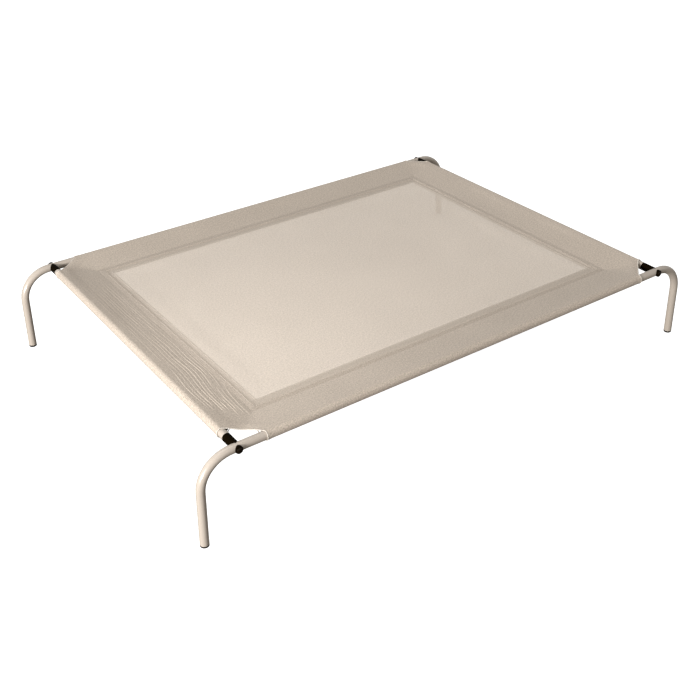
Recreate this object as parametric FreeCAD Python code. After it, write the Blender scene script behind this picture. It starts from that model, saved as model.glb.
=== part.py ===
import FreeCAD, Part
import math
import os

from FreeCAD import Vector as V

# Raised dog bed: a bolted knock-down tube frame with a sewn knit-mesh cover.
# Millimetres. +X runs along the long side rails, +Y along the end rails,
# +Z is up. The origin is on the floor, at the middle of the frame.

# ---------------------------------------------------------------- dimensions
TUBE_R = 9.5            # 19 mm round steel tube
TUBE_WALL = 1.2
HALF_W = 457.5          # side rail axis from the middle
HALF_X = 663.1          # end of the leg bend's centreline from the middle
RAIL_Z = 197.3          # height of every rail's axis
BEND_R = 71.6           # centreline radius of the leg bend
BEND_DEG = 87.9         # the legs splay outwards by the missing 2.1 degrees
END_X = 580.4           # end rail axis from the middle

BOLT_R = 2.95           # M6 shank
HOLE_R = 3.2
NUT_AF = 10.0
NUT_H = 5.0
NUT_BORE_R = 3.0
HEAD_R = 6.0
HEAD_H = 2.8
SOCKET_AF = 4.0
SOCKET_DEPTH = 1.8

COLLAR_END = 38.5       # collar's inner end, from the side rail's axis
PLUG_R = 8.15
PLUG_LEN = 32.0
WASHER_R = 8.25
WASHER_PROUD = 3.0

FOOT_H = 5.0            # glide flange below the tube end
FOOT_PLUG = 18.0
FOOT_ROUND = 2.6

CLOTH = 0.8             # thickness of one layer of knit
CLOTH_GAP = 0.15        # between a tube and the sleeve around it
SEAM_DROP = 3.5         # panel's middle plane below the rail axes
LAYER_START = 84.0      # panel's own edge, from the rail axes
UPPER_EDGE = 100.0      # upper layer of a sleeve ends here
LOWER_LONG = 118.0      # lower layer of the front and rear sleeves ends here
LOWER_END = 113.0       # lower layer of the left and right sleeves ends here
# Corner openings: reach along the end rail, reach along the side rail, and how
# far the opening's edge bows inwards. The cover is hand-tensioned, so they differ.
CUTS = {
    "front_left": (57.0, 63.0, 8.0),
    "front_right": (55.0, 61.0, 0.6),
    "rear_left": (52.0, 61.0, 0.6),
    "rear_right": (42.0, 47.0, -2.5),
}
BIND_W = 2.6            # width of the edge binding
BIND_T = 0.5            # how far the binding stands over the cloth

os.makedirs("parts", exist_ok=True)


def check(name, shape):
    if shape.ShapeType == "Compound" and len(shape.Solids) == 1:
        shape = shape.Solids[0]
    assert shape.isValid(), name
    assert len(shape.Solids) >= 1, name
    b = shape.BoundBox
    print("%-24s solids %d  vol %9.1f  x %8.2f %8.2f  y %8.2f %8.2f  z %7.2f %7.2f" % (
        name, len(shape.Solids), shape.Volume, b.XMin, b.XMax, b.YMin, b.YMax, b.ZMin, b.ZMax))
    shape.exportStep("parts/%s.step" % name)


def mirror(shape, x=False, y=False):
    if x:
        shape = shape.mirror(V(0, 0, 0), V(1, 0, 0))
    if y:
        shape = shape.mirror(V(0, 0, 0), V(0, 1, 0))
    return shape


def prism(points, z0, z1):
    """Upright prism over a polygon of (x, y) points."""
    pts = [V(x, y, z0) for x, y in points]
    wire = Part.makePolygon(pts + [pts[0]])
    return Part.Face(wire).extrude(V(0, 0, z1 - z0))


def hex_along_y(cx, cz, across_flats, y0, y1):
    r = across_flats / math.sqrt(3.0)
    pts = [V(cx + r * math.cos(math.radians(60 * i)), y0, cz + r * math.sin(math.radians(60 * i)))
           for i in range(6)]
    return Part.Face(Part.makePolygon(pts + [pts[0]])).extrude(V(0, y1 - y0, 0))


# ------------------------------------------------------------------ the tubes
BEND = math.radians(BEND_DEG)
BEND_X = HALF_X - BEND_R * math.sin(BEND)          # where the bend starts
BEND_Z = RAIL_Z - BEND_R                           # height of the bend's centre
LEG_DIR = V(math.cos(BEND), 0, -math.sin(BEND))    # down the right-hand leg
LEG_TOP = V(BEND_X + BEND_R * math.sin(BEND), 0, BEND_Z + BEND_R * math.cos(BEND))
LEG_LEN = (LEG_TOP.z - FOOT_H) / math.sin(BEND)
FOOT_TOP = LEG_TOP + LEG_DIR * LEG_LEN
FOOT_X = (LEG_TOP + LEG_DIR * (LEG_TOP.z / math.sin(BEND))).x


def bent_tube(r, over=0.0):
    """Side rail with its two integral legs, solid, radius r, at y = 0."""
    rail = Part.makeCylinder(r, 2 * BEND_X, V(-BEND_X, 0, RAIL_Z), V(1, 0, 0))
    circle = Part.Face(Part.Wire(Part.makeCircle(r, V(BEND_X, 0, RAIL_Z), V(1, 0, 0))))
    bend = circle.revolve(V(BEND_X, 0, BEND_Z), V(0, 1, 0), BEND_DEG)
    leg = Part.makeCylinder(r, LEG_LEN + over, LEG_TOP, LEG_DIR)
    shape = rail
    for piece in (bend, leg):
        shape = shape.fuse(piece).fuse(mirror(piece, x=True))
    return shape.removeSplitter()


def side_rail(sign):
    shape = bent_tube(TUBE_R).cut(bent_tube(TUBE_R - TUBE_WALL, over=2.0))
    for x in (-END_X, END_X):
        shape = shape.cut(Part.makeCylinder(HOLE_R, 40, V(x, -20, RAIL_Z), V(0, 1, 0)))
    shape.translate(V(0, sign * HALF_W, 0))
    return shape


def end_rail():
    half = HALF_W - COLLAR_END
    outer = Part.makeCylinder(TUBE_R, 2 * half, V(END_X, -half, RAIL_Z), V(0, 1, 0))
    inner = Part.makeCylinder(TUBE_R - TUBE_WALL, 2 * half, V(END_X, -half, RAIL_Z), V(0, 1, 0))
    return outer.cut(inner)


check("side_rail_front", side_rail(-1))
check("side_rail_rear", side_rail(1))
check("end_rail_right", end_rail())
check("end_rail_left", mirror(end_rail(), x=True))

# ------------------------------------------- corner joint, at the +X +Y corner
RAIL_AXIS = Part.makeCylinder(TUBE_R + 0.02, 80, V(END_X - 40, HALF_W, RAIL_Z), V(1, 0, 0))

# Connector: a collar the size of the tube with a saddle against the side rail,
# and a plug pressed into the end rail with a hex pocket for the nut.
collar = Part.makeCylinder(TUBE_R, COLLAR_END, V(END_X, HALF_W - COLLAR_END, RAIL_Z), V(0, 1, 0))
collar = collar.cut(RAIL_AXIS)
plug_y = HALF_W - COLLAR_END - PLUG_LEN
plug = Part.makeCylinder(PLUG_R, PLUG_LEN, V(END_X, plug_y, RAIL_Z), V(0, 1, 0))
plug = plug.makeChamfer(1.2, [e for e in plug.Edges
                              if abs(e.BoundBox.YMin - plug_y) < 1e-6 and abs(e.BoundBox.YMax - plug_y) < 1e-6])
connector = collar.fuse(plug)
connector = connector.cut(Part.makeCylinder(HOLE_R, 90, V(END_X, plug_y - 5, RAIL_Z), V(0, 1, 0)))
connector = connector.cut(hex_along_y(END_X, RAIL_Z, NUT_AF + 0.2, plug_y - 1, plug_y + NUT_H + 0.4))
connector = connector.removeSplitter()

nut = hex_along_y(END_X, RAIL_Z, NUT_AF, plug_y + 0.4, plug_y + 0.4 + NUT_H)
nut = nut.common(Part.makeCone(5.9, 5.1, NUT_H, V(END_X, plug_y + 0.4 + NUT_H, RAIL_Z), V(0, -1, 0)).fuse(
    Part.makeCylinder(5.15, NUT_H, V(END_X, plug_y + 0.4, RAIL_Z), V(0, 1, 0))))
nut = nut.cut(Part.makeCylinder(NUT_BORE_R, 20, V(END_X, plug_y - 5, RAIL_Z), V(0, 1, 0)))

# Saddle washer under the bolt head, hollowed to the tube.
face_y = HALF_W + TUBE_R + WASHER_PROUD
washer = Part.makeCylinder(WASHER_R, face_y - HALF_W, V(END_X, HALF_W, RAIL_Z), V(0, 1, 0))
washer = washer.makeFillet(1.0, [e for e in washer.Edges if abs(e.BoundBox.YMin - face_y) < 1e-6])
washer = washer.cut(RAIL_AXIS)
washer = washer.cut(Part.makeCylinder(HOLE_R, 60, V(END_X, HALF_W - 20, RAIL_Z), V(0, 1, 0)))

# Button-head bolt with a hex socket, from the washer through to the nut.
shank_y = plug_y - 2.0
bolt = Part.makeCylinder(BOLT_R, face_y - shank_y, V(END_X, shank_y, RAIL_Z), V(0, 1, 0))
bolt = bolt.makeChamfer(0.7, [e for e in bolt.Edges
                              if abs(e.BoundBox.YMin - shank_y) < 1e-6 and abs(e.BoundBox.YMax - shank_y) < 1e-6])
dome_r = (HEAD_R ** 2 + HEAD_H ** 2) / (2 * HEAD_H)
head = Part.makeSphere(dome_r, V(END_X, face_y + HEAD_H - dome_r, RAIL_Z))
head = head.common(Part.makeCylinder(HEAD_R, HEAD_H + 1, V(END_X, face_y, RAIL_Z), V(0, 1, 0)))
bolt = bolt.fuse(head)
bolt = bolt.cut(hex_along_y(END_X, RAIL_Z, SOCKET_AF, face_y + HEAD_H - SOCKET_DEPTH, face_y + HEAD_H + 1))

CORNERS = (("front_left", True, True), ("front_right", False, True),
           ("rear_left", True, False), ("rear_right", False, False))
for corner, mx, my in CORNERS:
    check("corner_connector_" + corner, mirror(connector, mx, my))
    check("captive_nut_" + corner, mirror(nut, mx, my))
    check("saddle_washer_" + corner, mirror(washer, mx, my))
    check("frame_bolt_" + corner, mirror(bolt, mx, my))

# ---------------------------------------------------------------- foot glides
# Plug up the leg, flange the size of the tube, rounded, worn flat on the floor.
axis_up = LEG_DIR * -1
foot_low = FOOT_TOP + LEG_DIR * (FOOT_H + 0.4)
flange = Part.makeCylinder(TUBE_R, FOOT_H + 0.4, foot_low, axis_up)
flange = flange.makeFillet(FOOT_ROUND, [e for e in flange.Edges
                                        if len(e.Vertexes) == 1 and e.BoundBox.ZMax < 1.5])
stem = Part.makeCylinder(PLUG_R, FOOT_PLUG, FOOT_TOP, axis_up)
top = FOOT_TOP + axis_up * FOOT_PLUG
stem = stem.makeChamfer(1.0, [e for e in stem.Edges if len(e.Vertexes) == 1 and e.BoundBox.ZMin > top.z - 2])
foot = flange.fuse(stem)
foot = foot.common(Part.makeBox(80, 80, 80, V(FOOT_X - 40, -40, 0)))
for corner, mx, my in CORNERS:
    shape = foot.copy()
    shape.translate(V(0, HALF_W, 0))
    check("foot_glide_" + corner, mirror(shape, mx, my))

# ---------------------------------------------------------------- mesh cover
ZS = -SEAM_DROP
R_IN = TUBE_R + CLOTH_GAP
R_OUT = R_IN + CLOTH


def tangent(r, d, z, side):
    """Point where the line from (d, z) touches the circle of radius r about
    the rail axis, on its upper (side = 1) or lower (side = -1) half."""
    dist = math.hypot(d, z)
    turn = math.atan2(z, d) + side * math.acos(r / dist)
    return r * math.cos(turn), r * math.sin(turn)


def sleeve_face(lower_edge, extra=0.0):
    """C-shaped section of a sleeve in (d, z): d inwards from the rail axis."""
    h0, h1 = CLOTH / 2.0, CLOTH * 1.5
    ro, ri = R_OUT + extra, R_IN
    tu, tl = h1 + extra, h1 + extra
    a = tangent(ro, LAYER_START, ZS + tu, 1)
    b = tangent(ro, LAYER_START, ZS - tl, -1)
    c = tangent(ri, LAYER_START, ZS - h0, -1)
    d = tangent(ri, LAYER_START, ZS + h0, 1)

    def p(q):
        return V(0, q[0], q[1])

    def line(q, r):
        return Part.LineSegment(p(q), p(r)).toShape()

    edges = [
        line((UPPER_EDGE, ZS + tu), (LAYER_START, ZS + tu)),
        line((LAYER_START, ZS + tu), a),
        Part.Arc(p(a), p((-ro, 0)), p(b)).toShape(),
        line(b, (LAYER_START, ZS - tl)),
        line((LAYER_START, ZS - tl), (lower_edge, ZS - tl)),
        line((lower_edge, ZS - tl), (lower_edge, ZS - h0)),
        line((lower_edge, ZS - h0), (LAYER_START, ZS - h0)),
        line((LAYER_START, ZS - h0), c),
        Part.Arc(p(c), p((-ri, 0)), p(d)).toShape(),
        line(d, (LAYER_START, ZS + h0)),
        line((LAYER_START, ZS + h0), (UPPER_EDGE, ZS + h0)),
        line((UPPER_EDGE, ZS + h0), (UPPER_EDGE, ZS + tu)),
    ]
    return Part.Face(Part.Wire(edges))


def corner_cut(corner, shift):
    """Prism over a corner opening, drawn in the +X +Y quarter; shift widens it."""
    cut_end, cut_long, bow = CUTS[corner]
    a = (END_X + 60, HALF_W - cut_end - shift)
    b = (END_X, HALF_W - cut_end - shift)
    c = (END_X - cut_long - shift, HALF_W)
    d = (END_X - cut_long - shift, HALF_W + 60)
    e = (END_X + 60, HALF_W + 60)
    mx, my = (b[0] + c[0]) / 2.0, (b[1] + c[1]) / 2.0
    n = math.hypot(b[1] - c[1], b[0] - c[0])
    nx, ny = -abs(b[1] - c[1]) / n, -abs(b[0] - c[0]) / n
    m = (mx + nx * bow, my + ny * bow)
    z0 = RAIL_Z - 40

    def p(q):
        return V(q[0], q[1], z0)

    edges = [Part.LineSegment(p(a), p(b)).toShape(),
             Part.Arc(p(b), p(m), p(c)).toShape(),
             Part.LineSegment(p(c), p(d)).toShape(),
             Part.LineSegment(p(d), p(e)).toShape(),
             Part.LineSegment(p(e), p(a)).toShape()]
    return Part.Face(Part.Wire(edges)).extrude(V(0, 0, 80))


def long_sleeve(extra=0.0):
    """Rear sleeve along +X, centred, mitred at 45 degrees at both corners."""
    face = sleeve_face(LOWER_LONG, extra)
    # d points to -Y from the rear rail
    face = face.mirror(V(0, 0, 0), V(0, 1, 0))
    face.translate(V(-END_X - 40, HALF_W, RAIL_Z))
    solid = face.extrude(V(2 * END_X + 80, 0, 0))
    reach = 200.0
    keep = prism([(-END_X - 40, HALF_W + 40), (END_X + 40, HALF_W + 40),
                  (END_X - reach, HALF_W - reach), (-END_X + reach, HALF_W - reach)],
                 RAIL_Z - 40, RAIL_Z + 40)
    return solid.common(keep)


def end_sleeve(extra=0.0):
    """Right sleeve along +Y, centred, mitred at 45 degrees at both corners."""
    face = sleeve_face(LOWER_END, extra)
    # turn the section so d points to -X from the right end rail
    face.rotate(V(0, 0, 0), V(0, 0, 1), 90)
    face.translate(V(END_X, -HALF_W - 40, RAIL_Z))
    solid = face.extrude(V(0, 2 * HALF_W + 80, 0))
    reach = 200.0
    keep = prism([(END_X + 40, HALF_W + 40), (END_X + 40, -HALF_W - 40),
                  (END_X - reach, -HALF_W + reach), (END_X - reach, HALF_W - reach)],
                 RAIL_Z - 40, RAIL_Z + 40)
    return solid.common(keep)


def cut_corners(shape):
    for corner, mx, my in CORNERS:
        shape = shape.cut(mirror(corner_cut(corner, BIND_W), mx, my))
    return shape


check("sleeve_rear", cut_corners(long_sleeve()))
check("sleeve_front", cut_corners(mirror(long_sleeve(), y=True)))
check("sleeve_right", cut_corners(end_sleeve()))
check("sleeve_left", cut_corners(mirror(end_sleeve(), x=True)))

# Binding tape over the cut edge of each corner opening.
box = Part.makeBox(200, 200, 80, V(END_X - 150, HALF_W - 150, RAIL_Z - 40))
for corner, mx, my in CORNERS:
    band = corner_cut(corner, BIND_W).cut(corner_cut(corner, 0.0))
    binding = long_sleeve(BIND_T).common(band).common(box).fuse(
        end_sleeve(BIND_T).common(band).common(box)).removeSplitter()
    check("corner_binding_" + corner, mirror(binding, mx, my))

panel = Part.makeBox(2 * (END_X - LAYER_START), 2 * (HALF_W - LAYER_START), CLOTH,
                     V(-(END_X - LAYER_START), -(HALF_W - LAYER_START), RAIL_Z + ZS - CLOTH / 2.0))
check("mesh_panel", panel)
print("foot centre x %.2f, bend starts x %.2f" % (FOOT_X, BEND_X))
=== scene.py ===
import math

import bmesh
import bpy
import numpy as np
from mathutils import Matrix, Vector


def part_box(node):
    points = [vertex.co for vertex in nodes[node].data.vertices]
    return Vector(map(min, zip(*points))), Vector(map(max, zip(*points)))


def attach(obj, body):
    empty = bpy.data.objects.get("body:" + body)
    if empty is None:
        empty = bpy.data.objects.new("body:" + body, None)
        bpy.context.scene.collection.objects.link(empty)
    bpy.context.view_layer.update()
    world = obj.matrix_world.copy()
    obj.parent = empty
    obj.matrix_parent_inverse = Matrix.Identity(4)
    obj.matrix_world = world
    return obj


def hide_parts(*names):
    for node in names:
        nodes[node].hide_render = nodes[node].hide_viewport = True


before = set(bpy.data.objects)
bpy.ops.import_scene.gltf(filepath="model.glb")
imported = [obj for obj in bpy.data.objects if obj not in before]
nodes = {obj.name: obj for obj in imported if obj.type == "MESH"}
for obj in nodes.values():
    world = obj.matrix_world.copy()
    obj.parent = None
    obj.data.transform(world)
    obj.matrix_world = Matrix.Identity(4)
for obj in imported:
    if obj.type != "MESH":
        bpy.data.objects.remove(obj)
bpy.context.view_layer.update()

# ------------------------------------------------------------------ dimensions
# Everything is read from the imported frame, in metres.
lo_f, hi_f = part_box("side_rail_front")
lo_r, hi_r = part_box("side_rail_rear")
lo_e, hi_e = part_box("end_rail_right")
lo_s, hi_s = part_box("sleeve_rear")
lo_t, hi_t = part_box("sleeve_right")
lo_p, hi_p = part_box("mesh_panel")
TUBE = (hi_r.y - lo_r.y) / 2
W = (hi_r.y + lo_r.y) / 2
XC = (hi_e.x + lo_e.x) / 2
H = (hi_e.z + lo_e.z) / 2
CLOTH = hi_p.z - lo_p.z
ZS = (hi_p.z + lo_p.z) / 2 - H
START = W - hi_p.y
LOW_LONG = W - lo_s.y
LOW_END = XC - lo_t.x
UPPER = START + 0.016
GAP = (hi_s.y - W) - TUBE - CLOTH
RM = TUBE + GAP + CLOTH / 2          # middle of the cloth around a tube
# each opening: reach along the end rail, along the side rail, bow of its edge
# inwards, and how far the edge dips between the tubes
CUTS = {
    "front_left": (0.057, 0.063, 0.008, 0.0050),
    "front_right": (0.055, 0.061, 0.0006, 0.0020),
    "rear_left": (0.052, 0.061, 0.0006, 0.0020),
    "rear_right": (0.042, 0.047, -0.0025, 0.0),
}
WALE = 0.0030                        # spacing of the knit's ribs
rng = np.random.RandomState(7)


# --------------------------------------------------------------- mesh helpers
def add_mesh(name, verts, faces, mat, uvs=None, attrs=None, smooth=True):
    me = bpy.data.meshes.new(name)
    me.from_pydata([tuple(v) for v in verts], [], [tuple(f) for f in faces])
    me.update()
    if uvs is not None:
        layer = me.uv_layers.new(name="cloth")
        idx = np.zeros(len(me.loops), np.int32)
        me.loops.foreach_get("vertex_index", idx)
        layer.data.foreach_set("uv", np.asarray(uvs, np.float32)[idx].ravel())
    for key, values in (attrs or {}).items():
        a = me.attributes.new(key, "FLOAT", "POINT")
        a.data.foreach_set("value", np.asarray(values, np.float32))
    if smooth:
        me.polygons.foreach_set("use_smooth", [True] * len(me.polygons))
    me.materials.append(mat)
    ob = bpy.data.objects.new(name, me)
    bpy.context.scene.collection.objects.link(ob)
    return ob


def grid_normals(P):
    du = np.gradient(P, axis=0)
    dv = np.gradient(P, axis=1)
    n = np.cross(du, dv)
    return n / np.maximum(np.linalg.norm(n, axis=2, keepdims=True), 1e-12)


def shell(name, P, thick, mat, uv, attrs=None, N=None, flat_ends=None):
    """Closed sheet around a grid of mid-surface points, with rounded rims.
    flat_ends marks the columns whose two ends meet a neighbour and stay square."""
    n, m = P.shape[:2]
    if N is None:
        N = grid_normals(P)
    t = thick / 2
    # pull the rim's two skins in, so that the cut edge is rounded
    wide = np.full((n, m, 1), t)
    top, bot = P + N * wide, P - N * wide
    ring = [(i, 0) for i in range(n)] + [(n - 1, j) for j in range(1, m)]
    ring += [(i, m - 1) for i in range(n - 2, -1, -1)] + [(0, j) for j in range(m - 2, 0, -1)]
    verts = np.concatenate([top.reshape(-1, 3), bot.reshape(-1, 3)])
    idx = np.arange(n * m).reshape(n, m)
    a, b, c, d = idx[:-1, :-1], idx[1:, :-1], idx[1:, 1:], idx[:-1, 1:]
    quads = np.stack([a, b, c, d], -1).reshape(-1, 4)
    faces = [quads, quads[:, ::-1] + n * m]
    r = np.array([idx[i, j] for i, j in ring])
    r2 = np.roll(r, -1)
    # middle ring, pushed outwards by half the thickness
    centre_in = np.zeros((len(ring), 3))
    for k, (i, j) in enumerate(ring):
        ii = min(max(i, 1), n - 2)
        jj = min(max(j, 1), m - 2)
        v = P[i, j] - P[ii, jj]
        v = v - N[i, j] * np.dot(v, N[i, j])
        centre_in[k] = v / max(np.linalg.norm(v), 1e-12)
    push = np.full(len(ring), t)
    if flat_ends is not None:
        for k, (i, j) in enumerate(ring):
            if i in (0, n - 1) and flat_ends[0 if i == 0 else 1][j]:
                push[k] = 0.0
    mid = np.array([P[i, j] for i, j in ring]) + centre_in * push[:, None]
    base = 2 * n * m
    mi = base + np.arange(len(ring))
    mi2 = np.roll(mi, -1)
    faces.append(np.stack([r2, r, mi, mi2], -1))
    faces.append(np.stack([mi2, mi, r + n * m, r2 + n * m], -1))
    verts = np.concatenate([verts, mid])
    flat = uv.reshape(-1, 2)
    uvs = np.concatenate([flat, flat, np.array([uv[i, j] for i, j in ring])])
    at = {}
    for key, val in (attrs or {}).items():
        f = val.reshape(-1)
        at[key] = np.concatenate([f, f, np.array([val[i, j] for i, j in ring])])
    ob = add_mesh(name, verts, np.concatenate(faces), mat, uvs, at)
    # the skins keep their own shading up to the rim
    me = ob.data
    ev = np.zeros(len(me.edges) * 2, np.int32)
    me.edges.foreach_get("vertices", ev)
    ev = ev.reshape(-1, 2)
    rim = np.zeros(len(me.vertices), bool)
    rim[r] = True
    rim[r + n * m] = True
    nxt = {}
    for a_, b_ in zip(r, r2):
        nxt[(min(a_, b_), max(a_, b_))] = True
        nxt[(min(a_, b_) + n * m, max(a_, b_) + n * m)] = True
    sharp = np.array([bool(rim[x] and rim[y] and (min(x, y), max(x, y)) in nxt) for x, y in ev])
    attr = me.attributes.new("sharp_edge", "BOOLEAN", "EDGE")
    attr.data.foreach_set("value", sharp)
    return ob


def place(side, s, d, z):
    """(along the rail, inwards, up) to the frame, for each side."""
    s, d, z = np.broadcast_arrays(s, d, z)
    if side == "rear":
        return np.stack([s, W - d, H + z], -1)
    if side == "front":
        return np.stack([s, -W + d, H + z], -1)
    if side == "right":
        return np.stack([XC - d, s, H + z], -1)
    return np.stack([-XC + d, s, H + z], -1)


def smooth01(x):
    x = np.clip(x, 0, 1)
    return x * x * (3 - 2 * x)


# ---------------------------------------------------------- shape of the cover
def tangent(r, d, z, side):
    dist = math.hypot(d, z)
    turn = math.atan2(z, d) + side * math.acos(r / dist)
    return r * math.cos(turn), r * math.sin(turn)


TOP_T = tangent(RM, START, ZS + CLOTH, 1)
LOW_T = tangent(RM, START, ZS - CLOTH, -1)


def layer_height(d, top):
    """Height of the straight stretch from the tube to the seam, then flat."""
    t = TOP_T if top else LOW_T
    end = ZS + (CLOTH if top else -CLOTH)
    x = np.clip((d - t[0]) / (START - t[0]), 0, 1)
    return t[1] + (end - t[1]) * x


def valley(d_long, d_end, top):
    """The two stretches meet over a corner in a soft valley, not a crease."""
    a, b = layer_height(d_long, top), layer_height(d_end, top)
    near = np.minimum(d_long, d_end)
    k = 0.0042 * (1 - smooth01((near - 0.045) / 0.038)) + 1e-6
    h = np.maximum(k - np.abs(a - b), 0) / k
    if top:
        return np.maximum(a, b) + h * h * k / 4
    return np.minimum(a, b) - h * h * k / 4


def _circle(p, q, r):
    m = np.array([[q[0] - p[0], q[1] - p[1]], [r[0] - p[0], r[1] - p[1]]])
    v = np.array([(q @ q - p @ p) / 2, (r @ r - p @ p) / 2])
    c = np.linalg.solve(m, v)
    return c, np.linalg.norm(c - p)


class Opening:
    """A corner opening. Its edge is an arc in (d_end, d_long)."""

    def __init__(self, cut_end, cut_long, bow, dip):
        self.end, self.long, self.dip = cut_end, cut_long, dip
        b, c = np.array([0.0, cut_end]), np.array([cut_long, 0.0])
        m = (b + c) / 2 + np.array([cut_end, cut_long]) / math.hypot(cut_end, cut_long) * bow
        self.b, self.c = b, c
        self.mid, self.r = _circle(b, m, c)
        self.sign = 1.0 if bow > 0 else -1.0

    def end_of(self, d_long):
        """d_end of the edge at a given d_long; constant round the rail."""
        d = np.clip(d_long, 0, self.end)
        x = self.mid[0] + self.sign * np.sqrt(np.maximum(self.r ** 2 - (d - self.mid[1]) ** 2, 0))
        return np.where(d_long <= 0, self.long, x)

    def long_of(self, d_end):
        d = np.clip(d_end, 0, self.long)
        y = self.mid[1] + self.sign * np.sqrt(np.maximum(self.r ** 2 - (d - self.mid[0]) ** 2, 0))
        return np.where(d_end <= 0, self.end, y)

    def beyond(self, d_long, d_end):
        """Distance inwards from the edge."""
        e = (np.hypot(d_end - self.mid[0], d_long - self.mid[1]) - self.r) * self.sign
        chord = (d_end / self.long + d_long / self.end - 1) * self.long * self.end / math.hypot(self.long, self.end)
        e = np.maximum(e, chord) if self.sign < 0 else e
        # round a rail only the distance along it counts
        e = np.where(d_long < 0, d_end - self.long, e)
        return np.where(d_end < 0, d_long - self.end, e)

    def top(self, d_long, d_end):
        """The edge is pulled over the tops of the two tubes."""
        near = np.minimum(d_long, d_end)
        z = valley(d_long, d_end, True)
        turn = np.arctan2(np.maximum(d_end, 0), np.maximum(d_long, 1e-6))
        goal = RM - 0.0009 - self.dip * np.sin(2 * turn) ** 2
        taut = (1 - smooth01(self.beyond(d_long, d_end) / 0.034)) * smooth01((near - 0.002) / 0.012)
        return z + (goal - z) * taut

    def pinch(self, d_long, d_end):
        return 1 - smooth01(self.beyond(d_long, d_end) / 0.030)


OPENINGS = {name: Opening(*values) for name, values in CUTS.items()}
PLY_GAP = 0.00115                    # middle to middle of two layers sewn together


def ends_of(side):
    """The openings at the negative and the positive end of a sleeve."""
    return {"front": ("front_left", "front_right"), "rear": ("rear_left", "rear_right"),
            "left": ("front_left", "rear_left"), "right": ("front_right", "rear_right")}[side]


def lateral_limit(side, opening, d):
    """How near to the corner a sleeve comes at d from its rail: the opening's
    edge first, then the mitre with the next sleeve."""
    cut = opening.end_of(d) if side in ("front", "rear") else opening.long_of(d)
    return np.where(cut > d, cut, np.maximum(d, 0))


def lower_layer(opening, d_long, d_end, turned, d):
    """Lower layer: it follows the tube further round near an opening, and is
    sewn to the upper layer there. Returns its (d, z)."""
    w = opening.pinch(d_long, d_end)
    a1 = math.atan2(LOW_T[1], LOW_T[0]) + 2 * math.pi
    a = a1 + w * (2 * math.pi - 0.30 - a1)
    d0, z0 = RM * np.cos(a), RM * np.sin(a)
    fade = 1 - smooth01((d - LOW_T[0]) / 0.022)
    d_new = d + (d0 - LOW_T[0]) * fade
    z = valley(d_long, d_end, False) + (z0 - LOW_T[1]) * fade
    other = np.where(turned, d_long, d_end)
    free = smooth01((d_new - d0) / 0.0062) * smooth01((other - 0.004) / 0.010)
    goal = opening.top(d_long, d_end) - PLY_GAP
    return d_new, z + (goal - z) * w * free


def profile(step, low_end):
    """(d, z, part, arc length) down a sleeve's section, from the upper layer's
    edge round the tube to the lower layer's edge. part: 0 upper, 1 tube, 2 lower."""
    pts = []
    n = max(int((UPPER - START) / min(step, 0.0012)), 4)
    for d in np.linspace(UPPER - 0.0004, START, n + 1)[:-1]:
        pts.append((d, ZS + CLOTH, 0))
    n = int((START - TOP_T[0]) / step)
    for d in np.linspace(START, TOP_T[0], n + 1):
        pts.append((d, float(layer_height(d, True)), 0))
    a0 = math.atan2(TOP_T[1], TOP_T[0])
    a1 = math.atan2(LOW_T[1], LOW_T[0]) + 2 * math.pi
    for a in np.linspace(a0, a1, 25)[1:-1]:
        pts.append((RM * math.cos(a), RM * math.sin(a), 1))
    for d in np.concatenate([np.linspace(LOW_T[0], LOW_T[0] + 0.036, 31)[:-1],
                             np.linspace(LOW_T[0] + 0.036, START, 10)]):
        pts.append((d, float(layer_height(d, False)), 2))
    for d in np.linspace(START, low_end - 0.0004, 7)[1:]:
        pts.append((d, ZS - CLOTH, 2))
    p = np.array(pts)
    seg = np.hypot(np.diff(p[:, 0]), np.diff(p[:, 1]))
    arc = np.concatenate([[0], np.cumsum(seg)])
    return p[:, 0], p[:, 1], p[:, 2].astype(int), arc


def waves(s, seed, scale, octaves=3):
    """Smooth repeatable 1-D noise along s, about -1 to 1."""
    r = np.random.RandomState(seed)
    out = np.zeros_like(s)
    for o in range(octaves):
        f = (1.7 ** o) / scale
        out += np.sin(2 * math.pi * (s * f * r.uniform(0.8, 1.2) + r.uniform())) / (1.4 ** o)
    return out / 1.9


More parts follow.
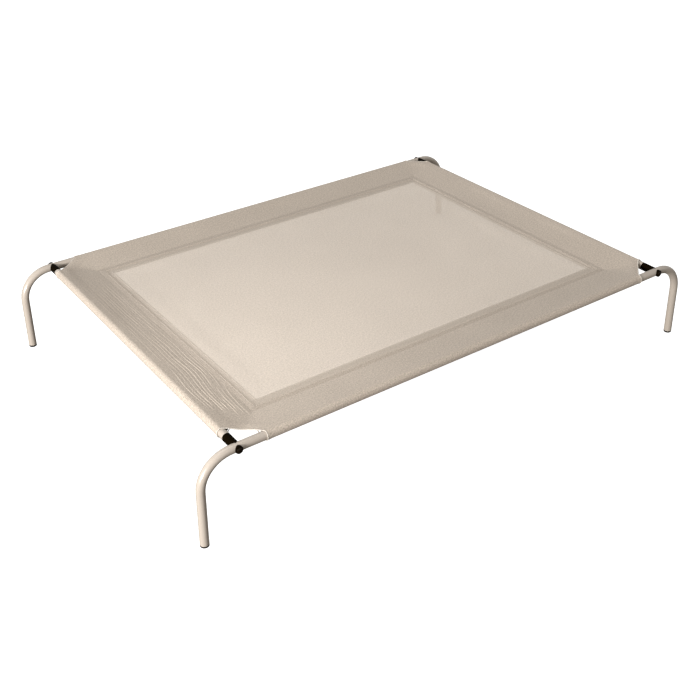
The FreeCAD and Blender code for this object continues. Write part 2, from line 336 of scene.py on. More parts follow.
def puckers(side, s, d):
    """Fine lengthwise ridges where the knit is gathered along an end rail. They
    drift towards the rail before they run out near the corner opening."""
    out = np.zeros(np.broadcast(s, d).shape)
    if side == "left":
        count, first, pitch, low, high, tall = 19, 0.0150, 0.0038, -0.325, 0.365, 0.00070
    elif side == "front":
        count, first, pitch, low, high, tall = 6, 0.034, 0.0080, -0.480, -0.330, 0.00022
    else:
        return out
    for k in range(count):
        u = k / (count - 1)
        # between two full ridges runs a weak one
        main = side != "left" or k % 2 == 0
        start = low - (0.058 * u if side == "left" else 0.0) + 0.012 * math.sin(5.1 * k)
        stop = high - 0.080 * abs(u - 0.5) + 0.025 * math.sin(3.7 * k)
        centre = first + pitch * k + 0.0005 * math.sin(2.3 * k) + 0.0008 * waves(s, 100 + k, 0.40)
        if side == "left":
            near = np.clip((start + 0.215 - s) / 0.215, 0, 1.2)
            centre = centre + (0.0085 - 0.0190 * smooth01(near)) * (0.30 + 0.70 * u) * smooth01((0.15 - s) / 0.25)
            centre = centre + 0.0016 * np.sin((s + 0.20) * 38.0 + 2.2 * u) * smooth01((-0.02 - s) / 0.12)
            strong = 0.55 + 0.45 * smooth01((-0.02 - s) / 0.20)
        else:
            strong = 1.0
        amp = (0.72 + 0.28 * smooth01(0.5 + 0.8 * waves(s, 200 + k, 0.30, 2))) * strong * (1.0 if main else 0.38)
        # a ridge now and then breaks off and starts again
        amp = amp * smooth01((waves(s, 300 + k, 0.34, 2) + 0.92) / 0.35)
        amp = amp * (0.45 + 0.55 * math.sin(math.pi * min(max(u, 0.10), 0.90)))
        ends = smooth01((s - start) / 0.018) * smooth01((stop - s) / 0.16)
        wide = 0.00105 + 0.00012 * math.sin(1.9 * k)
        x = (d - centre) / wide
        out = out + tall * amp * ends * (np.exp(-x * x) - 0.34 * np.exp(-((x + 2.0) / 1.2) ** 2))
    return out


def ripple(x, y):
    """Slow, slight unevenness of stretched cloth."""
    return (0.00022 * np.sin(19.0 * x + 7.0 * y + 0.4) + 0.00018 * np.sin(-11.0 * x + 23.0 * y + 1.9)
            + 0.00012 * np.sin(41.0 * x - 17.0 * y + 3.1))


def sleeve(side, mat):
    long_side = side in ("front", "rear")
    half = XC if long_side else W
    low_end = LOW_LONG if long_side else LOW_END
    fine = {"left": 0.00075, "front": 0.0014}.get(side, 0.0030)
    d, z, part, arc = profile(fine, low_end)
    m = len(d)
    length = 2 * half - 0.12
    n = int(length / (0.0055 if side == "left" else 0.0075))
    t = np.linspace(-1, 1, n + 1)
    # finer near both ends, where the opening curves
    t = np.sign(t) * (1 - (1 - np.abs(t)) ** 1.12)
    first, last = (OPENINGS[k] for k in ends_of(side))
    lim = np.where(t[:, None] < 0, (half - lateral_limit(side, first, d))[None, :],
                   (half - lateral_limit(side, last, d))[None, :])
    s = t[:, None] * lim
    D = np.broadcast_to(d[None, :], s.shape).copy()
    Z = np.broadcast_to(z[None, :], s.shape).copy()
    other = half - np.abs(s)
    dl, de = (D.copy(), other) if long_side else (other, D.copy())
    up, low, tube = part == 0, part == 2, part == 1
    neg = s < 0

    def pick(f):
        return np.where(neg, f(first), f(last))

    def cut_of(o):
        return (o.end_of if long_side else o.long_of)(d)[None, :] + 0 * s

    cutc = pick(cut_of)
    meets = [~(c > d) for c in (cut_of(first)[0], cut_of(last)[0])]
    Z[:, up] = pick(lambda o: o.top(dl, de))[:, up]
    low_d = pick(lambda o: lower_layer(o, dl, de, not long_side, D)[0])
    low_z = pick(lambda o: lower_layer(o, dl, de, not long_side, D)[1])
    Z[:, low] = low_z[:, low]
    # the tube stretch follows the lower layer further round
    wrap = pick(lambda o: o.pinch(np.where(long_side, -1e-4, other), np.where(long_side, other, -1e-4)))
    a0 = math.atan2(TOP_T[1], TOP_T[0])
    a1 = math.atan2(LOW_T[1], LOW_T[0]) + 2 * math.pi
    frac = (np.arctan2(z, d) % (2 * math.pi) - a0) / (a1 - a0)
    ang = a0 + frac[None, :] * (a1 + wrap * (2 * math.pi - 0.30 - a1) - a0)
    D = np.where(tube[None, :], RM * np.cos(ang), np.where(low[None, :], low_d, D))
    Z = np.where(tube[None, :], RM * np.sin(ang), Z)
    # slack, puckers and the lip at the upper layer's sewn edge
    span = smooth01((D - 0.012) / 0.02) * smooth01((START - D) / 0.03) * smooth01(pick(lambda o: o.beyond(dl, de)) / 0.03)
    x_, y_ = place(side, s, D, Z)[..., 0], place(side, s, D, Z)[..., 1]
    Z[:, up] += (span * (ripple(x_, y_) * 1.5 - 0.0006))[:, up]
    Z[:, up] += (puckers(side, s, D) * smooth01((START + 0.006 - D) / 0.008))[:, up]
    # the sewn edge is pressed down by its stitches
    lip = -0.00028 * np.exp(-((D - UPPER) / 0.0016) ** 2)
    Z[:, up] += lip[:, up]
    Z[:, low] += (span * (ripple(x_ + 0.3, y_) * 1.5 + 0.0006))[:, low]
    # the sleeve's ends stand slightly off the tube
    flare = (1 - smooth01((other - cutc) / 0.009)) * (part[None, :] == 1) * 0.0007
    rad = np.hypot(D, Z)
    D2 = D * (1 + flare / np.maximum(rad, 1e-6))
    Z = Z * np.where(part[None, :] == 1, 1 + flare / np.maximum(rad, 1e-6), 1)
    P = place(side, s, D2, Z)
    # cloth coordinates: ribs run along Y everywhere
    a = arc - arc[np.argmin(np.abs(d - UPPER))]
    q = UPPER - a                      # distance from the rail axis, unrolled
    Q = np.broadcast_to(q[None, :], s.shape)
    if side == "rear":
        U, V = s, W - Q
    elif side == "front":
        U, V = s, -W + Q
    elif side == "right":
        U, V = XC - Q, s
    else:
        U, V = -XC + Q, s
    uv = np.stack([U, V], -1)
    # painted shade where the sleeve lies over the panel's edge, for the light the extra layer keeps from coming through
    ply_shade = np.where(D > START - 0.0008, 1.0, 0.0)
    # painted shade and light per side: the right sleeve is darkened all over, and the left sleeve gets less of the
    # layer shade, following how the light falls on each side
    if side == "right":
        ply_shade = 0.12 + ply_shade * 0.10
    if side == "left":
        ply_shade = ply_shade * 0.30
    ply_shade = np.where(part[None, :] == 1, 0.0, ply_shade)
    # painted highlight on the puckers' crests and painted shade in the hollows beside them, besides their real relief
    ridge_shading = np.where(up[None, :], puckers(side, s, D) / 0.00070, 0.0) * smooth01((START + 0.006 - D) / 0.008)
    if side == "left":
        # painted shade: the wrap round the tube is made a little darker, to hold back the strong light from the left
        ridge_shading = ridge_shading - 0.05 * tube[None, :]
    # painted highlight along the sewn edge of the front, left and rear sleeves, and a painted shadow line along the
    # right sleeve's edge
    edge_shading = {"front": 0.35, "left": 0.40, "rear": 0.12, "right": -0.30}[side]
    ridge_shading = ridge_shading + np.where(up[None, :], edge_shading * np.exp(-((D - (UPPER - 0.0006)) / 0.0011) ** 2), 0.0)
    if side in ("rear", "left"):
        P, uv, ply_shade, ridge_shading = P[:, ::-1], uv[:, ::-1], ply_shade[:, ::-1], ridge_shading[:, ::-1]
        meets = [k[::-1] for k in meets]
    N = grid_normals(P)
    # outward means away from the tube axis
    ob = shell("cover_sleeve_" + side, P, CLOTH, mat, uv, {"ply_shade": ply_shade, "ridge_shading": ridge_shading}, N, meets)
    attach(ob, "root")
    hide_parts("sleeve_" + side)
    return ob


# ------------------------------------------------------------------- materials
def new_material(name):
    mat = bpy.data.materials.new(name)
    mat.use_nodes = True
    nt = mat.node_tree
    for n in list(nt.nodes):
        nt.nodes.remove(n)
    out = nt.nodes.new("ShaderNodeOutputMaterial")
    bsdf = nt.nodes.new("ShaderNodeBsdfPrincipled")
    nt.links.new(bsdf.outputs[0], out.inputs[0])
    return mat, nt, bsdf


def math_node(nt, op, a, b=None, clamp=False):
    n = nt.nodes.new("ShaderNodeMath")
    n.operation = op
    n.use_clamp = clamp
    for i, v in enumerate((a, b)):
        if v is None:
            continue
        if isinstance(v, (int, float)):
            n.inputs[i].default_value = v
        else:
            nt.links.new(v, n.inputs[i])
    return n.outputs[0]


def noise(nt, vec, scale, detail=2.0, rough=0.5):
    n = nt.nodes.new("ShaderNodeTexNoise")
    n.inputs["Scale"].default_value = scale
    n.inputs["Detail"].default_value = detail
    n.inputs["Roughness"].default_value = rough
    nt.links.new(vec, n.inputs["Vector"])
    return n.outputs["Fac"]


def mix_colour(nt, fac, a, b):
    n = nt.nodes.new("ShaderNodeMix")
    n.data_type = "RGBA"
    for sock, v in ((n.inputs[0], fac), (n.inputs[6], a), (n.inputs[7], b)):
        if isinstance(v, (int, float)):
            sock.default_value = v
        elif isinstance(v, (tuple, list)):
            sock.default_value = (*v, 1.0)
        else:
            nt.links.new(v, sock)
    return n.outputs[2]


def object_coords(nt):
    return nt.nodes.new("ShaderNodeTexCoord").outputs["Object"]


def bump(nt, height, strength, distance, bsdf, normal=None):
    b = nt.nodes.new("ShaderNodeBump")
    b.inputs["Strength"].default_value = strength
    b.inputs["Distance"].default_value = distance
    nt.links.new(height, b.inputs["Height"])
    if normal is not None:
        nt.links.new(normal, b.inputs["Normal"])
    if bsdf is not None:
        nt.links.new(b.outputs[0], bsdf.inputs["Normal"])
    return b.outputs[0]


def knit_material(name, light, dark, layer_shade, alpha=1.0, grit=1.0):
    """Warp-knit mesh: ribs along V, looped stitches on each rib and slanting threads between them, with small dark
    pores. The darker tone where a further layer lies behind is painted shade, for the light that the extra layer keeps
    from coming through."""
    mat, nt, bsdf = new_material(name)
    uv = nt.nodes.new("ShaderNodeUVMap")
    uv.uv_map = "cloth"
    sep = nt.nodes.new("ShaderNodeSeparateXYZ")
    nt.links.new(uv.outputs[0], sep.inputs[0])
    u, v = sep.outputs[0], sep.outputs[1]
    # ribs wander a little
    wob = noise(nt, uv.outputs[0], 24.0, 2.0)
    u2 = math_node(nt, "ADD", u, math_node(nt, "MULTIPLY", math_node(nt, "SUBTRACT", wob, 0.5), 0.0016))
    tau = 2 * math.pi
    rib = math_node(nt, "COSINE", math_node(nt, "MULTIPLY", u2, tau / WALE))
    rib = math_node(nt, "MULTIPLY_ADD", rib, 0.5)
    rib.node.inputs[2].default_value = 0.5
    loop = math_node(nt, "COSINE", math_node(nt, "MULTIPLY", v, tau / 0.0022))
    loop = math_node(nt, "MULTIPLY_ADD", loop, 0.5)
    loop.node.inputs[2].default_value = 0.5
    half_u = math_node(nt, "MULTIPLY", u2, tau / (2 * WALE))
    vv = math_node(nt, "MULTIPLY", v, tau / 0.0044)
    z1 = math_node(nt, "COSINE", math_node(nt, "ADD", half_u, vv))
    z2 = math_node(nt, "COSINE", math_node(nt, "SUBTRACT", half_u, vv))
    zig = math_node(nt, "MAXIMUM", z1, z2)
    zig = math_node(nt, "MULTIPLY_ADD", zig, 0.5)
    zig.node.inputs[2].default_value = 0.5
    body = math_node(nt, "MULTIPLY", rib, math_node(nt, "ADD", math_node(nt, "MULTIPLY", loop, 0.30), 0.70))
    height = math_node(nt, "MAXIMUM", body, math_node(nt, "MULTIPLY", zig, 0.62))
    fibre = noise(nt, uv.outputs[0], 1500.0, 2.0, 0.6)
    grain = noise(nt, uv.outputs[0], 150.0, 3.0, 0.65)
    cloud = noise(nt, uv.outputs[0], 5.0, 2.0, 0.5)
    h2 = math_node(nt, "ADD", height, math_node(nt, "MULTIPLY", fibre, 0.25))
    fleck = noise(nt, uv.outputs[0], 330.0, 1.0, 0.5)
    tone = math_node(nt, "MULTIPLY", height, 0.45)
    tone = math_node(nt, "ADD", tone, math_node(nt, "MULTIPLY", math_node(nt, "SUBTRACT", grain, 0.5), 0.8 * grit))
    tone = math_node(nt, "ADD", tone, math_node(nt, "MULTIPLY", math_node(nt, "SUBTRACT", fleck, 0.5), 2.6 * grit))
    tone = math_node(nt, "ADD", tone, math_node(nt, "MULTIPLY", math_node(nt, "SUBTRACT", cloud, 0.5), 0.25))
    tone = math_node(nt, "ADD", tone, 0.26, clamp=True)
    colour = mix_colour(nt, tone, dark, light)
    # painted shade where a further layer lies behind: mixes towards the darker tones by the layer attribute read here
    at = nt.nodes.new("ShaderNodeAttribute")
    at.attribute_name = "ply_shade"
    colour = mix_colour(nt, at.outputs["Fac"], colour, mix_colour(nt, tone, tuple(c * h for c, h in zip(dark, layer_shade)),
                                                                  tuple(c * h for c, h in zip(light, layer_shade))))
    rg = nt.nodes.new("ShaderNodeAttribute")
    rg.attribute_name = "ridge_shading"
    # painted highlight on crests and painted shade in the hollows beside them, read from the attribute above
    crest_highlight = math_node(nt, "MULTIPLY", rg.outputs["Fac"], 0.95, clamp=True)
    trough_shade = math_node(nt, "MULTIPLY", rg.outputs["Fac"], -0.9, clamp=True)
    colour = mix_colour(nt, crest_highlight, colour, tuple(min(c * 1.35, 0.95) for c in light))
    colour = mix_colour(nt, trough_shade, colour, tuple(c * 0.85 for c in dark))
    nt.links.new(colour, bsdf.inputs["Base Color"])
    rough = math_node(nt, "MULTIPLY_ADD", fibre, 0.14)
    rough.node.inputs[2].default_value = 0.72
    nt.links.new(rough, bsdf.inputs["Roughness"])
    bsdf.inputs["Sheen Weight"].default_value = 0.18
    bsdf.inputs["Sheen Roughness"].default_value = 0.45
    bsdf.inputs["Specular IOR Level"].default_value = 0.25
    bsdf.inputs["Alpha"].default_value = alpha
    bump(nt, h2, 0.55, 0.0007, bsdf)
    return mat


def paint_material(name, base, rough=0.30):
    """Powder coat: orange peel, slight tone changes, dulled and scuffed patches."""
    mat, nt, bsdf = new_material(name)
    co = object_coords(nt)
    cloud = noise(nt, co, 9.0, 3.0, 0.6)
    speck = noise(nt, co, 420.0, 2.0, 0.6)
    scuff = noise(nt, co, 60.0, 6.0, 0.75)
    scuff = math_node(nt, "MULTIPLY", math_node(nt, "SUBTRACT", scuff, 0.62, clamp=True), 5.0, clamp=True)
    dim = tuple(c * 0.93 for c in base)
    colour = mix_colour(nt, cloud, dim, base)
    colour = mix_colour(nt, math_node(nt, "MULTIPLY", speck, 0.10), colour, tuple(c * 0.85 for c in base))
    # handling marks low on the legs
    sep = nt.nodes.new("ShaderNodeSeparateXYZ")
    nt.links.new(co, sep.inputs[0])
    low = math_node(nt, "SUBTRACT", 1.0, math_node(nt, "MULTIPLY", sep.outputs[2], 18.0), clamp=True)
    mark = math_node(nt, "MULTIPLY", low, scuff)
    colour = mix_colour(nt, math_node(nt, "MULTIPLY", mark, 0.30), colour, tuple(c * 0.55 for c in base))
    nt.links.new(colour, bsdf.inputs["Base Color"])
    r = math_node(nt, "ADD", math_node(nt, "MULTIPLY", cloud, 0.10), rough - 0.05)
    r = math_node(nt, "ADD", r, math_node(nt, "MULTIPLY", scuff, 0.10))
    nt.links.new(r, bsdf.inputs["Roughness"])
    bsdf.inputs["Coat Weight"].default_value = 0.25
    bsdf.inputs["Coat Roughness"].default_value = 0.12
    peel = noise(nt, co, 380.0, 2.0, 0.5)
    bump(nt, peel, 0.10, 0.0004, bsdf)
    return mat


def plastic_material(name, base):
    mat, nt, bsdf = new_material(name)
    co = object_coords(nt)
    grain = noise(nt, co, 2200.0, 2.0, 0.6)
    cloud = noise(nt, co, 70.0, 3.0, 0.6)
    nt.links.new(mix_colour(nt, cloud, tuple(c * 0.75 for c in base), tuple(c * 1.35 for c in base)),
                 bsdf.inputs["Base Color"])
    r = math_node(nt, "ADD", math_node(nt, "MULTIPLY", cloud, 0.16), 0.40)
    nt.links.new(r, bsdf.inputs["Roughness"])
    bsdf.inputs["Specular IOR Level"].default_value = 0.01
    bsdf.inputs["Specular Tint"].default_value = (1.0, 0.86, 0.68, 1)
    bump(nt, grain, 0.25, 0.0002, bsdf)
    return mat


def metal_material(name, base, rough, metallic=1.0):
    mat, nt, bsdf = new_material(name)
    co = object_coords(nt)
    fine = noise(nt, co, 900.0, 3.0, 0.7)
    cloud = noise(nt, co, 160.0, 3.0, 0.6)
    nt.links.new(mix_colour(nt, cloud, tuple(c * 0.8 for c in base), base), bsdf.inputs["Base Color"])
    bsdf.inputs["Metallic"].default_value = metallic
    bsdf.inputs["Specular IOR Level"].default_value = 0.14
    r = math_node(nt, "ADD", math_node(nt, "MULTIPLY", cloud, 0.18), rough)
    nt.links.new(r, bsdf.inputs["Roughness"])
    bump(nt, fine, 0.12, 0.0002, bsdf)
    return mat


def binding_material(name, base):
    """Overlocked edge: thread wound over the cloth's edge, slanting."""
    mat, nt, bsdf = new_material(name)
    uv = nt.nodes.new("ShaderNodeUVMap")
    uv.uv_map = "cloth"
    sep = nt.nodes.new("ShaderNodeSeparateXYZ")
    nt.links.new(uv.outputs[0], sep.inputs[0])
    slant = math_node(nt, "ADD", math_node(nt, "MULTIPLY", sep.outputs[0], 2 * math.pi / 0.0016),
                      math_node(nt, "MULTIPLY", sep.outputs[1], 2 * math.pi / 0.006))
    wind = math_node(nt, "COSINE", slant)
    wind = math_node(nt, "MULTIPLY_ADD", wind, 0.5)
    wind.node.inputs[2].default_value = 0.5
    fibre = noise(nt, uv.outputs[0], 1800.0, 2.0, 0.6)
    tone = math_node(nt, "ADD", math_node(nt, "MULTIPLY", wind, 0.7), math_node(nt, "MULTIPLY", fibre, 0.4), clamp=True)
    nt.links.new(mix_colour(nt, tone, tuple(c * 0.70 for c in base), base), bsdf.inputs["Base Color"])
    bsdf.inputs["Roughness"].default_value = 0.75
    bsdf.inputs["Sheen Weight"].default_value = 0.2
    bump(nt, math_node(nt, "ADD", wind, math_node(nt, "MULTIPLY", fibre, 0.3)), 0.6, 0.0004, bsdf)
    return mat


# The panel and the sleeves are one cloth. The panel's lighter tones are partly painted light, for the floor light that
# shines through its single layer (its alpha lets some through for real); the sleeves' darker tones are painted shade of
# their doubled layers.
PANEL_LIGHT, PANEL_DARK = (0.850, 0.742, 0.626), (0.568, 0.489, 0.406)
SLEEVE_LIGHT, SLEEVE_DARK = (0.595, 0.508, 0.420), (0.355, 0.299, 0.241)
LAYER_SHADE = (0.88, 0.87, 0.86)
knit_panel = knit_material("knit_panel", PANEL_LIGHT, PANEL_DARK, (0.80, 0.79, 0.78), alpha=0.78, grit=0.62)
knit_sleeve = knit_material("knit_sleeve", SLEEVE_LIGHT, SLEEVE_DARK, LAYER_SHADE, grit=0.80)
paint = paint_material("frame_powder_coat", (0.470, 0.408, 0.344))
black = plastic_material("moulded_black", (0.0042, 0.0024, 0.0008))
black_steel = metal_material("bolt_black_oxide", (0.010, 0.006, 0.003), 0.24, 0.15)
zinc = metal_material("zinc_plate", (0.60, 0.60, 0.57), 0.25)
bound = binding_material("overlock_edge", (0.74, 0.67, 0.58))
thread, nt_, bs_ = new_material("seam_thread")
_co = object_coords(nt_)
nt_.links.new(mix_colour(nt_, noise(nt_, _co, 700.0, 2.0), (0.56, 0.49, 0.41), (0.74, 0.67, 0.58)), bs_.inputs["Base Color"])
bs_.inputs["Roughness"].default_value = 0.55
bs_.inputs["Sheen Weight"].default_value = 0.2
bump(nt_, noise(nt_, _co, 2500.0, 2.0), 0.4, 0.0002, bs_)

for name, ob in nodes.items():
    if name.startswith(("side_rail", "end_rail")):
        mat = paint
    elif name.startswith(("corner_connector", "saddle_washer", "foot_glide")):
        mat = black
    elif name.startswith("frame_bolt"):
        mat = black_steel
    elif name.startswith("captive_nut"):
        mat = zinc
    else:
        continue
    for i in range(max(len(ob.material_slots), 1)):
        if len(ob.material_slots) == 0:
            ob.data.materials.append(mat)
        ob.material_slots[i].material = mat

# ------------------------------------------------------------------- the cover
sleeves = {side: sleeve(side, knit_sleeve) for side in ("front", "rear", "left", "right")}


def panel_sag(x, y):
    """The stretched panel hangs a few millimetres at its middle."""
    ex, ey = XC - START, W - START
    a = np.clip(1 - (x / ex) ** 2, 0, 1) * np.clip(1 - (y / ey) ** 2, 0, 1)
    return -0.0045 * a ** 0.8


def build_panel():
    ex, ey = XC - START, W - START
    xs = np.unique(np.concatenate([np.linspace(-ex, ex, 181), [-(XC - LOW_END) - 0.0006, -(XC - LOW_END) + 0.0006,
                                                                (XC - LOW_END) - 0.0006, (XC - LOW_END) + 0.0006]]))
    ys = np.unique(np.concatenate([np.linspace(-ey, ey, 137), [-(W - LOW_LONG) - 0.0006, -(W - LOW_LONG) + 0.0006,
                                                                (W - LOW_LONG) - 0.0006, (W - LOW_LONG) + 0.0006]]))
    X, Y = np.meshgrid(xs, ys, indexing="ij")
    inner = smooth01((np.minimum(ex - np.abs(X), ey - np.abs(Y)) - 0.034) / 0.05)
    Z = H + ZS + (panel_sag(X, Y) + ripple(X * 0.8, Y * 0.8) * 1.2) * inner
    P = np.stack([X, Y, Z], -1)
    de, dl = XC - np.abs(X), W - np.abs(Y)
    # painted shade where a sleeve's lower layer lies under the panel, for the light it keeps from coming through; the
    # corners get about half, the right-hand ones a little more than the left
    ply_shade = np.where((de < LOW_END) & (dl >= START), 1.0, 0.0)
    ply_shade = np.where((dl < LOW_LONG), 1.0, ply_shade)
    ply_shade = np.where((X > 0) & (de < LOW_END) & (dl >= LOW_LONG), 0.55, ply_shade)
    ply_shade = np.where((X < 0) & (de < LOW_END) & (dl >= LOW_LONG), 0.50, ply_shade)
    ob = shell("cover_panel", P, CLOTH, knit_panel, np.stack([X, Y], -1), {"ply_shade": ply_shade})
    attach(ob, "root")
    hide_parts("mesh_panel")
    return ob


panel = build_panel()


# --------------------------------------------------- bound edge at each corner
def edge_paths(o):
    """Bound edge at an opening, as drawn in the +X +Y corner: one strip where
    the layers are sewn together, and one ring round each tube."""
    th_b = math.atan2(o.b[1] - o.mid[1], o.b[0] - o.mid[0])
    th_c = math.atan2(o.c[1] - o.mid[1], o.c[0] - o.mid[0])
    if th_b - th_c > math.pi:
        th_c += 2 * math.pi
    if th_c - th_b > math.pi:
        th_b += 2 * math.pi
    arc = [(o.mid[0] + o.r * math.cos(t), o.mid[1] + o.r * math.sin(t)) for t in np.linspace(th_b, th_c, 61)]
    join = 0.0128
    strip = [(de, dl, float(o.top(np.array(dl), np.array(de))) - PLY_GAP / 2) for de, dl in arc
             if de > join and dl > join]
    out = [(strip, False)]
    a0 = math.atan2(TOP_T[1], TOP_T[0])
    for turned in (False, True):
        ring = []
        for d in np.linspace(join + 0.003, TOP_T[0], 14):
            e = float((o.long_of if turned else o.end_of)(np.array(d)))
            dl, de = (e, d) if turned else (d, e)
            ring.append((de, dl, float(o.top(np.array(dl), np.array(de)))))
        for a in np.linspace(a0, 2 * math.pi - 0.30, 40)[1:]:
            r = RM + 0.0007
            d, z = r * math.cos(a), r * math.sin(a)
            e = float((o.long_of if turned else o.end_of)(np.array(d)))
            ring.append((d, e, z) if turned else (e, d, z))
        d0 = RM * math.cos(0.30)
        for d in np.linspace(d0, join + 0.003, 9)[1:]:
            e = float((o.long_of if turned else o.end_of)(np.array(d)))
            dl, de = (e, d) if turned else (d, e)
            d_new = np.array(d)
            free = float(smooth01((d_new - d0) / 0.0052))
            goal = float(o.top(np.array(dl), np.array(de))) - PLY_GAP
            z = -RM * math.sin(0.30) + (goal + RM * math.sin(0.30)) * free
            ring.append((de, dl, z))
        out.append((ring, True))
    done = []
    for pts, closed in out:
        p = np.array(pts)
        done.append((np.stack([XC - p[:, 0], W - p[:, 1], H + p[:, 2]], -1), closed))
    return done


def resample(p, step, closed):
    q = np.vstack([p, p[:1]]) if closed else p
    seg = np.linalg.norm(np.diff(q, axis=0), axis=1)
    keep = np.concatenate([[True], seg > 1e-7])
    q = q[keep]
    seg = np.linalg.norm(np.diff(q, axis=0), axis=1)
    arc = np.concatenate([[0], np.cumsum(seg)])
    n = int(arc[-1] / step)
    t = np.linspace(0, arc[-1], n + 1)
    if closed:
        t = t[:-1]
    out = np.stack([np.interp(t, arc, q[:, k]) for k in range(3)], -1)
    for _ in range(3):
        if closed:
            out = 0.25 * np.roll(out, 1, 0) + 0.5 * out + 0.25 * np.roll(out, -1, 0)
        else:
            out[1:-1] = 0.25 * out[:-2] + 0.5 * out[1:-1] + 0.25 * out[2:]
    return out, arc[-1]


def surface_normal(p):
    """Outward normal of the cloth near a point of the +X +Y corner."""
    de, dl, z = XC - p[0], W - p[1], p[2] - H
    if dl < 0.0105 and de > 0.02:
        v = np.array([0, -dl, z])
        return v / np.linalg.norm(v)
    if de < 0.0105 and dl > 0.02:
        v = np.array([-de, 0, z])
        return v / np.linalg.norm(v)
    return np.array([0, 0, 1.0])


def build_binding(corner, sx, sy):
    verts, faces, uvs, start = [], [], [], 0
    k = 12
    ang = np.arange(k) * 2 * math.pi / k
    for path, closed in edge_paths(OPENINGS[corner]):
        p, length = resample(path, 0.0012, closed)
        n = len(p)
        if closed:
            tang = np.roll(p, -1, 0) - np.roll(p, 1, 0)
        else:
            tang = np.gradient(p, axis=0)
        tang /= np.linalg.norm(tang, axis=1, keepdims=True)
        nr = np.array([surface_normal(q) for q in p])
        if closed:
            # away from the middle of the ring
            nr = p - p.mean(axis=0)
        nr = nr - tang * np.sum(nr * tang, axis=1, keepdims=True)
        nr /= np.maximum(np.linalg.norm(nr, axis=1, keepdims=True), 1e-9)
        side = np.cross(tang, nr)
        wide, tall = (0.00125, 0.00080) if closed else (0.00130, 0.00125)
        s = np.arange(n) * length / n
        turns = max(round(length / 0.0036), 1)
        # each turn of thread stands slightly proud
        swell = 1 + 0.08 * np.cos(2 * math.pi * s[:, None] * turns / length + ang[None, :])
        if not closed:
            swell = swell * np.minimum(1, 0.35 + np.minimum(np.arange(n), np.arange(n)[::-1])[:, None] * 0.25)
        V = (p[:, None, :] + side[:, None, :] * (np.cos(ang)[None, :, None] * wide * swell[..., None])
             + nr[:, None, :] * (np.sin(ang)[None, :, None] * tall * swell[..., None]))
        V = V * np.array([sx, sy, 1.0])
        idx = np.arange(n * k).reshape(n, k) + start
        a = idx if closed else idx[:-1]
        b = np.roll(idx, -1, 0) if closed else idx[1:]
        c, d = np.roll(b, -1, 1), np.roll(a, -1, 1)
        quads = np.stack([a, b, c, d], -1).reshape(-1, 4)
        rings = [] if closed else [list(idx[0]), list(idx[-1])[::-1]]
        if sx * sy < 0:
            quads = quads[:, ::-1]
            rings = [r[::-1] for r in rings]
        faces += [tuple(int(x) for x in q) for q in quads] + [tuple(int(x) for x in r) for r in rings]
        verts.append(V.reshape(-1, 3))
        uvs.append(np.stack([np.broadcast_to(s[:, None], (n, k)), np.broadcast_to(ang[None, :] * 0.0014, (n, k))], -1).reshape(-1, 2))
        start += n * k
    ob = add_mesh("cover_edge_" + corner, np.concatenate(verts), faces, bound, np.concatenate(uvs))
    me = ob.data
    bm = bmesh.new()
    bm.from_mesh(me)
    bmesh.ops.recalc_face_normals(bm, faces=bm.faces)
    bm.to_mesh(me)
    bm.free()
    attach(ob, "root")
    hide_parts("corner_binding_" + corner)
    return ob


for corner, sx, sy in (("front_left", -1, -1), ("front_right", 1, -1), ("rear_left", -1, 1), ("rear_right", 1, 1)):
    build_binding(corner, sx, sy)


# ------------------------------------------------------------- sewn seam rows
def build_stitches():
    """Lockstitch rows, each stitch a short bowed thread sunk at both ends."""
    verts, faces = [], []
    k, rings = 6, 5
    ang = np.arange(k) * 2 * math.pi / k
    long_ = 0.0033
    r = 0.00034

    def one(centre, along, up, jitter):
        t = np.linspace(-0.5, 0.5, rings)
        across = np.cross(up, along)
        c = centre + along * (t[:, None] * long_) + up * (0.00030 * (1 - (2 * t[:, None]) ** 2) + 0.00004) \
            + across * jitter * t[:, None]
        rad = r * np.array([0.55, 0.95, 1.0, 0.95, 0.55])
        v = (c[:, None, :] + across * (np.cos(ang)[None, :, None] * rad[:, None, None])
             + up * (np.sin(ang)[None, :, None] * rad[:, None, None] * 0.85))
        base = len(verts) * 1
        start = one.count
        verts.append(v.reshape(-1, 3))
        for i in range(rings - 1):
            for j in range(k):
                j2 = (j + 1) % k
                faces.append((start + i * k + j, start + i * k + j2, start + (i + 1) * k + j2, start + (i + 1) * k + j))
        faces.append(tuple(start + j for j in range(k))[::-1])
        faces.append(tuple(start + (rings - 1) * k + j for j in range(k)))
        one.count += rings * k

    one.count = 0
    r2 = np.random.RandomState(11)
    pitch = 0.0043
    for side in ("front", "rear", "left", "right"):
        long_side = side in ("front", "rear")
        half = XC if long_side else W
        low_end = LOW_LONG if long_side else LOW_END
        rows = [(UPPER - 0.0042, 1, ZS + 1.5 * CLOTH), (UPPER - 0.0042, -1, ZS - 1.5 * CLOTH),
                (low_end - 0.0036, 1, ZS + 0.5 * CLOTH), (low_end - 0.0036, -1, ZS - 1.5 * CLOTH)]
        for d, up_sign, z in rows:
            reach = half - d - 0.001
            count = int(2 * reach / pitch)
            for s in (np.arange(count) - (count - 1) / 2) * pitch:
                dd = d + r2.uniform(-0.00012, 0.00012)
                c = place(side, np.array(s), np.array(dd), np.array(z))
                along = place(side, np.array(s + 0.001), np.array(dd), np.array(z)) - c
                along = along / np.linalg.norm(along)
                one(c, along, np.array([0, 0, float(up_sign)]), r2.uniform(-0.0002, 0.0002))
    v = np.concatenate(verts)
    ob = add_mesh("cover_stitching", v, faces, thread)
    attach(ob, "root")
    return ob


build_stitches()

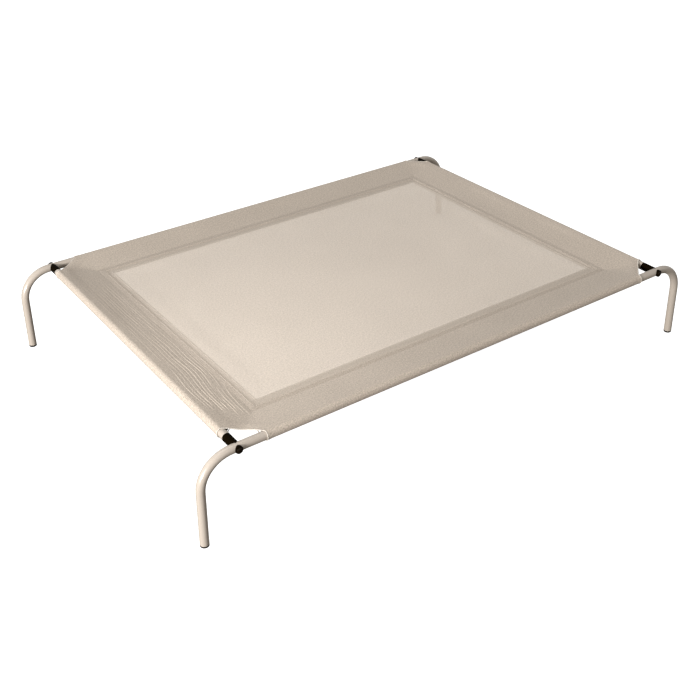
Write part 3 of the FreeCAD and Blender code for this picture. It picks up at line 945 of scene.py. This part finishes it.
# --------------------------------------------------------------- stage, camera
fm, nt, bsdf = new_material("stage_floor")
bsdf.inputs["Base Color"].default_value = (0.50, 0.50, 0.50, 1)
bsdf.inputs["Emission Color"].default_value = (1.0, 0.998, 0.995, 1)
bsdf.inputs["Emission Strength"].default_value = 0.95
bsdf.inputs["Roughness"].default_value = 0.9
bsdf.inputs["Specular IOR Level"].default_value = 0.1
floor = add_mesh("floor", [(-40, -40, 0), (40, -40, 0), (40, 40, 0), (-40, 40, 0)], [(0, 1, 2, 3)], fm, smooth=False)
floor.visible_diffuse = False        # its bounce would flatten the undersides
floor.visible_glossy = False

world = bpy.data.worlds.new("studio")
bpy.context.scene.world = world
world.use_nodes = True
bg = world.node_tree.nodes.get("Background")
wt = world.node_tree
geo = wt.nodes.new("ShaderNodeTexCoord")
wsep = wt.nodes.new("ShaderNodeSeparateXYZ")
wt.links.new(geo.outputs["Generated"], wsep.inputs[0])
ramp = wt.nodes.new("ShaderNodeValToRGB")
ramp.color_ramp.elements[0].position = 0.44
ramp.color_ramp.elements[0].color = (0.15, 0.130, 0.105, 1)
ramp.color_ramp.elements[1].position = 0.56
ramp.color_ramp.elements[1].color = (1.0, 0.992, 0.978, 1)
wmap = wt.nodes.new("ShaderNodeMath")
wmap.operation = "MULTIPLY_ADD"
wmap.inputs[1].default_value = 0.5
wmap.inputs[2].default_value = 0.5
wt.links.new(wsep.outputs[2], wmap.inputs[0])
wt.links.new(wmap.outputs[0], ramp.inputs[0])
wt.links.new(ramp.outputs[0], bg.inputs["Color"])
bg.inputs["Strength"].default_value = 0.665


def area_light(name, where, target, size, power, colour=(1, 1, 1)):
    data = bpy.data.lights.new(name, "AREA")
    data.shape = "RECTANGLE"
    data.size, data.size_y = size
    data.energy = power
    data.color = colour
    ob = bpy.data.objects.new(name, data)
    bpy.context.scene.collection.objects.link(ob)
    ob.location = where
    ob.rotation_mode = "QUATERNION"
    ob.rotation_quaternion = (Vector(target) - Vector(where)).to_track_quat("-Z", "Y")
    return ob


area_light("key", (-4.32, -1.31, 0.98), (-0.5, -0.1, 0.15), (1.0, 0.8), 285, (0.995, 0.993, 1.0))
glow = area_light("glow", (-0.50, -0.20, 1.05), (-0.49, -0.20, 0.19), (0.5, 0.6), 0.52, (0.995, 0.993, 1.0))
glow.data.spread = math.radians(80)
glow.visible_camera = False

az, el, roll = -0.6053, 0.5577, -0.0204
back = Vector((math.sin(az) * math.cos(el), -math.cos(az) * math.cos(el), math.sin(el)))
right_ = Vector((0, 0, 1)).cross(back).normalized()
up_ = back.cross(right_)
c_, s_ = math.cos(roll), math.sin(roll)
x_ax = c_ * right_ + s_ * up_
y_ax = -s_ * right_ + c_ * up_
M = Matrix((x_ax, y_ax, back)).transposed().to_4x4()
M.translation = (-1.26378, -1.82269, 1.34804)
cam_data = bpy.data.cameras.new("camera")
cam_data.sensor_width = 36
cam_data.lens = 36 * 1016.68 / 700
cam = bpy.data.objects.new("camera", cam_data)
bpy.context.scene.collection.objects.link(cam)
cam.matrix_world = M
bpy.context.scene.camera = cam
bpy.context.scene.view_settings.view_transform = "Standard"
